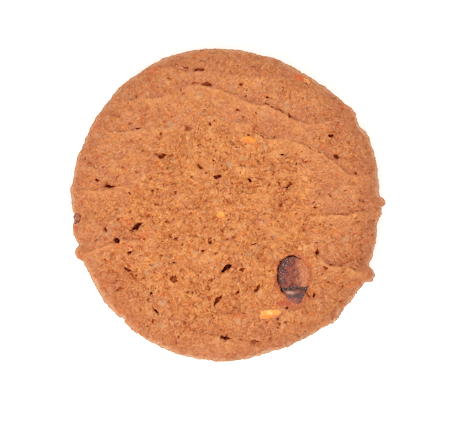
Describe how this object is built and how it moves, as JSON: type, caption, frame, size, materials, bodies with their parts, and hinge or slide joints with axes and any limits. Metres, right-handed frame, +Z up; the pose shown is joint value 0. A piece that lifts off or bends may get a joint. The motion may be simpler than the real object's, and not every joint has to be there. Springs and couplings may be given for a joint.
{
  "type": "round fruit cookie",
  "caption": "Round wire-cut cookie with a ridged, pitted top, dried fruit sunk in it and small bits of peel, on a flat underside.",
  "frame": {"origin": "centre of the outline, on the flat underside", "axes": "+Z up out of the ridged top; the cutting wire's ridges run roughly along X, and the sunk fruit lies towards +X and -Y"},
  "size_m": [0.0626, 0.062, 0.0111],
  "materials": {
    "baked_dough": "matt baked crumb",
    "dried_fruit": "sticky, wrinkled, satin",
    "candied_peel": "waxy, satin"
  },
  "bodies": {
    "root": {"cookie_body": "baked_dough", "dried_fruit": "dried_fruit", "rim_fruit": "dried_fruit"}
  },
  "joints": []
}
